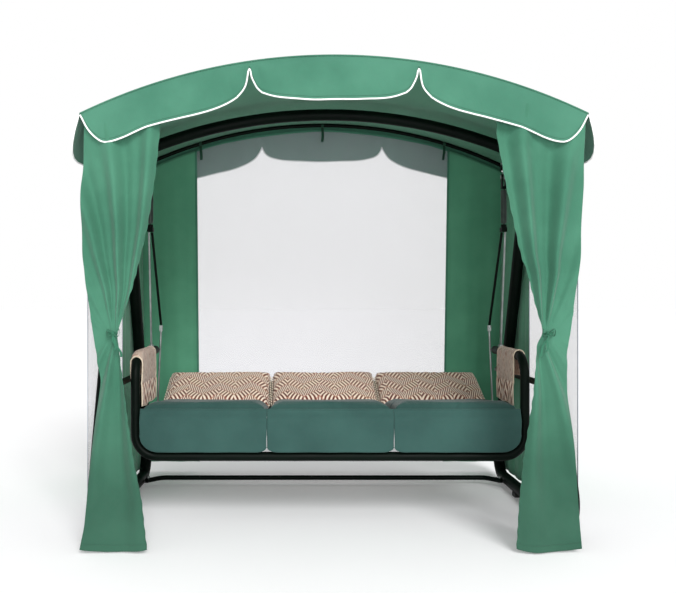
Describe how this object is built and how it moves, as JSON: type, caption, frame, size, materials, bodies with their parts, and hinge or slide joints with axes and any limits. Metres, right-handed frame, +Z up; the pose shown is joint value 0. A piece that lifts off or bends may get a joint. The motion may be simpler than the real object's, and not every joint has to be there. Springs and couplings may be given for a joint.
{
  "type": "canopy swing bench",
  "caption": "Garden swing bench with an arched cloth canopy, tied curtains, net walls, sprung hanging seat and fold-down backrest.",
  "frame": {"origin": "on the floor at the centre of the object's footprint", "axes": "+X to the right as seen from the front, +Y to the back, +Z up; the open front faces -Y"},
  "size_m": [2.2304, 1.6957, 2.04],
  "materials": {
    "frame_paint": "satin",
    "plated_steel": "satin",
    "spring_steel": "satin",
    "black_rubber": "matte",
    "webbing": "matte",
    "canopy_cloth": "matte",
    "tie_cloth": "matte",
    "white_net": "matte",
    "pattern_cloth": "matte",
    "teal_cloth": "matte"
  },
  "bodies": {
    "frame": {"front_leg_left": "frame_paint", "front_leg_right": "frame_paint", "rear_leg_left": "frame_paint", "rear_leg_right": "frame_paint", "floor_sleeves": "frame_paint", "rear_crossbar": "frame_paint", "main_beam": "frame_paint", "top_brackets": "frame_paint", "swing_lugs": "plated_steel", "side_braces": "frame_paint", "foot_pads": "black_rubber", "frame_bolts": "plated_steel", "canopy_front_arch": "frame_paint", "canopy_rear_arch": "frame_paint", "canopy_side_rails": "frame_paint", "canopy_corners": "frame_paint", "roof_fabric": "canopy_cloth", "front_valance": "canopy_cloth", "rear_valance": "canopy_cloth", "left_valance": "canopy_cloth", "right_valance": "canopy_cloth", "curtain_left_upper": "canopy_cloth", "curtain_left_lower": "canopy_cloth", "curtain_right_upper": "canopy_cloth", "curtain_right_lower": "canopy_cloth", "curtain_ties": "tie_cloth", "rear_wall_left": "canopy_cloth", "rear_wall_right": "canopy_cloth", "rear_net": "white_net", "side_wall_left": "canopy_cloth", "side_wall_right": "canopy_cloth", "side_net_left": "white_net", "side_net_right": "white_net", "net_ties": "tie_cloth"},
    "hanger": {"hanger_clevises": "plated_steel", "swing_pins": "plated_steel", "hanger_springs": "spring_steel"},
    "seat": {"hanger_joints": "frame_paint", "front_hanger_rods": "plated_steel", "rear_hanger_rods": "frame_paint", "rear_link_rods": "plated_steel", "seat_front_bar": "frame_paint", "arm_left": "frame_paint", "arm_right": "frame_paint", "arm_plugs": "black_rubber", "seat_rails": "frame_paint", "seat_slats": "webbing", "hinge_brackets": "frame_paint", "hinge_pins": "plated_steel", "seat_cushion_left": "teal_cloth", "seat_cushion_middle": "teal_cloth", "seat_cushion_right": "teal_cloth", "seat_valance": "teal_cloth", "armrest_cover_left": "pattern_cloth", "armrest_cover_right": "pattern_cloth"},
    "backrest": {"back_frame": "frame_paint", "back_slats": "webbing", "back_cushion_left": "pattern_cloth", "back_cushion_middle": "pattern_cloth", "back_cushion_right": "pattern_cloth"}
  },
  "joints": [
    {"name": "swing", "type": "hinge", "parent": "frame", "child": "hanger", "pos_m": [0, 0, 1.636], "axis": [1, 0, 0], "range_deg": [-12, 5]},
    {"name": "bounce", "type": "slide", "parent": "hanger", "child": "seat", "axis": [0, 0, 1], "range_m": [-0.05, 0], "stiffness_N_per_m": 30000, "springref_m": 0.02, "deforming": ["hanger_springs"]},
    {"name": "backrest_tilt", "type": "hinge", "parent": "seat", "child": "backrest", "pos_m": [0, 0.265, 0.462], "axis": [1, 0, 0], "range_deg": [0, 50]}
  ]
}
